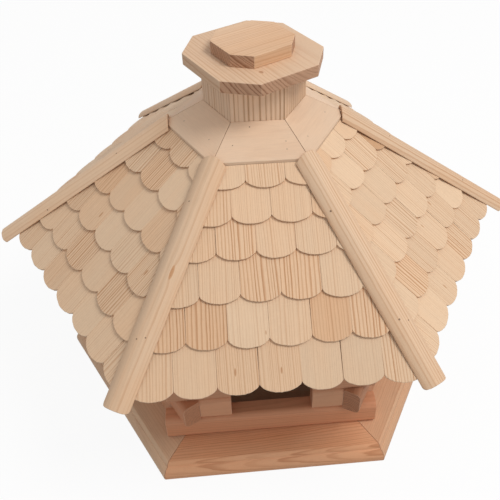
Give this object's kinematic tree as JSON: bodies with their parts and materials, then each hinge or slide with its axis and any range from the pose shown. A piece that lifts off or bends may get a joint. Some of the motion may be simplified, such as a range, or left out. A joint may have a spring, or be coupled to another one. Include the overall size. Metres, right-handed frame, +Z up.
{
  "type": "hexagonal log cabin bird feeder",
  "caption": "Wooden bird feeder in the form of a hexagonal log cabin: open log walls on a mitred base, under a shingled roof with hip caps, collar and capped neck.",
  "frame": {"origin": "centre of the underside of the base, on the ground", "axes": "+Z up, -Y towards the front wall, +X to the viewer's right"},
  "size_m": [0.6052, 0.5306, 0.4285],
  "materials": {
    "base_wood": "planed, bare",
    "log_wood": "planed, bare",
    "board_wood": "planed, bare",
    "shingle_wood": "split and sanded, bare",
    "cap_wood": "planed, bare",
    "collar_wood": "planed, bare",
    "top_wood": "planed, bare"
  },
  "bodies": {
    "root": {"base_board_front": "base_wood", "base_board_front_right": "base_wood", "base_board_back_right": "base_wood", "base_board_back": "base_wood", "base_board_back_left": "base_wood", "base_board_front_left": "base_wood", "floor_panel": "board_wood", "sill_logs": "log_wood", "sill_fillers": "log_wood", "short_logs_crossing": "log_wood", "blocks_straight": "log_wood", "short_logs_straight": "log_wood", "blocks_crossing": "log_wood", "lintel_logs": "log_wood", "lintel_fillers": "log_wood", "top_logs": "log_wood", "top_fillers": "log_wood", "roof_board_front": "board_wood", "roof_board_front_right": "board_wood", "roof_board_back_right": "board_wood", "roof_board_back": "board_wood", "roof_board_back_left": "board_wood", "roof_board_front_left": "board_wood", "shingles_front": "shingle_wood", "shingles_front_right": "shingle_wood", "shingles_back_right": "shingle_wood", "shingles_back": "shingle_wood", "shingles_back_left": "shingle_wood", "shingles_front_left": "shingle_wood", "hip_cap_front_right": "cap_wood", "hip_cap_right": "cap_wood", "hip_cap_back_right": "cap_wood", "hip_cap_back_left": "cap_wood", "hip_cap_left": "cap_wood", "hip_cap_front_left": "cap_wood", "collar_board_front": "collar_wood", "collar_board_front_right": "collar_wood", "collar_board_back_right": "collar_wood", "collar_board_back": "collar_wood", "collar_board_back_left": "collar_wood", "collar_board_front_left": "collar_wood", "neck": "collar_wood", "cap_plate": "top_wood", "knob": "top_wood"}
  },
  "joints": []
}
